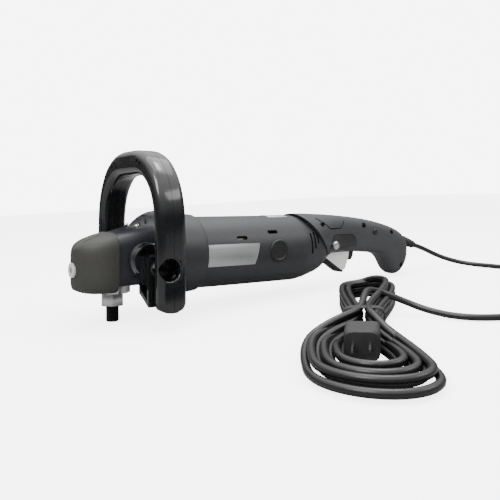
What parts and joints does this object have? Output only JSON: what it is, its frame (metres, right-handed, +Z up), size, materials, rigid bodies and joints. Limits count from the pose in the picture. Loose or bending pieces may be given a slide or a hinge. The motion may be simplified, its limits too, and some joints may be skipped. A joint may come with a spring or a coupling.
{
  "type": "rotary polisher",
  "caption": "Corded rotary polisher with a vertical threaded spindle, a D-shaped front handle, a trigger grip, and its mains cord tied in a hank beside it.",
  "frame": {"origin": "centre of the spindle tip, on the surface that the tool rests on", "axes": "+X from the gear head to the cord, +Y to the tool's right side seen from the head, +Z up"},
  "size_m": [0.6071, 0.4462, 0.1794],
  "materials": {
    "blackened_steel": "black oxide",
    "steel": "ground",
    "zinc_steel": "zinc plated",
    "lamination_steel": "varnished",
    "cast_aluminium": "die cast and painted",
    "printed_aluminium": "brushed",
    "copper": "turned",
    "enamelled_copper": "enamelled",
    "brass": "pressed",
    "nickel_brass": "nickel plated",
    "carbon": "matt",
    "cover_rubber": "moulded",
    "black_rubber": "moulded",
    "cord_rubber": "extruded",
    "grey_nylon": "fine moulded grain",
    "grip_nylon": "fine moulded grain",
    "black_nylon": "gloss",
    "light_plastic": "satin"
  },
  "bodies": {
    "tool": {"spindle_lower_bearing": "steel", "spindle_upper_bearing": "steel", "bearing_plate": "zinc_steel", "gear_housing": "cast_aluminium", "head_cover": "cover_rubber", "exhaust_hood": "grey_nylon", "hood_screws": "zinc_steel", "lock_spring": "steel", "d_handle_bolts": "zinc_steel", "d_handle_washers": "zinc_steel", "front_motor_bearing": "steel", "rear_motor_bearing": "steel", "fan_baffle": "black_nylon", "field_core": "lamination_steel", "field_coils": "enamelled_copper", "motor_housing": "grey_nylon", "brush_holders": "brass", "carbon_brushes": "carbon", "brush_springs": "steel", "brush_caps": "grey_nylon", "nameplate": "printed_aluminium", "rating_plate": "printed_aluminium", "handle_shell_left": "grip_nylon", "handle_shell_right": "grip_nylon", "handle_screws": "zinc_steel", "trigger_bezel": "black_nylon", "trigger_pivot": "zinc_steel", "switch_module": "black_nylon", "speed_controller": "black_nylon", "capacitor": "black_nylon", "cord_clamp": "black_nylon", "strain_relief": "cord_rubber", "cord_lead": "cord_rubber", "cord_hank": "cord_rubber", "cord_tie": "cord_rubber", "plug_body": "cord_rubber", "plug_blades": "nickel_brass"},
    "spindle": {"spindle": "blackened_steel", "crown_gear": "steel", "gear_retainer": "steel"},
    "armature": {"armature_shaft": "steel", "pinion_gear": "steel", "cooling_fan": "black_nylon", "armature_core": "lamination_steel", "armature_windings": "enamelled_copper", "commutator": "copper"},
    "spindle_lock": {"lock_button": "light_plastic", "lock_pin": "steel"},
    "d_handle": {"d_handle_front": "black_nylon", "d_handle_rear": "black_nylon", "d_handle_brackets": "black_nylon", "d_handle_screws": "blackened_steel"},
    "trigger": {"trigger": "light_plastic", "trigger_pad": "black_rubber"},
    "lock_lever": {"lock_lever": "black_nylon"},
    "lock_on_button": {"lock_on_button": "black_nylon"},
    "speed_dial": {"speed_dial": "black_rubber"}
  },
  "joints": [
    {"name": "armature_spin", "type": "hinge", "parent": "tool", "child": "armature", "pos_m": [0.10336, 0, 0.06314], "axis": [0.9987, 0, -0.0513], "continuous": true},
    {"name": "spindle_spin", "type": "hinge", "parent": "tool", "child": "spindle", "pos_m": [0.00205, 0, 0.04031], "axis": [0.0513, 0, 0.9987], "continuous": true},
    {"name": "lock_press", "type": "slide", "parent": "tool", "child": "spindle_lock", "axis": [0.9987, 0, -0.0513], "range_m": [0, 0.005], "stiffness_N_per_m": 600, "deforming": ["lock_spring"]},
    {"name": "d_handle_tilt", "type": "hinge", "parent": "tool", "child": "d_handle", "pos_m": [0.0258, 0, 0.06412], "axis": [0, 1, 0], "range_deg": [-15, 15]},
    {"name": "trigger_pull", "type": "hinge", "parent": "tool", "child": "trigger", "pos_m": [0.29321, 0, 0.05539], "axis": [0, -1, 0], "range_deg": [0, 12], "stiffness_Nm_per_rad": 0.6},
    {"name": "lock_lever_swing", "type": "hinge", "parent": "tool", "child": "lock_lever", "pos_m": [0.34773, 0, 0.04458], "axis": [0, -1, 0], "range_deg": [0, 12], "stiffness_Nm_per_rad": 0.05},
    {"name": "lock_on_press", "type": "slide", "parent": "tool", "child": "lock_on_button", "axis": [0, 1, 0], "range_m": [0, 0.002], "stiffness_N_per_m": 400},
    {"name": "speed_dial_turn", "type": "hinge", "parent": "tool", "child": "speed_dial", "pos_m": [0.44333, 0, 0.02465], "axis": [0, 1, 0], "range_deg": [0, 270]}
  ],
  "couplings": [
    {"joint": "spindle_spin", "follows": "armature_spin", "ratio": 0.25}
  ]
}
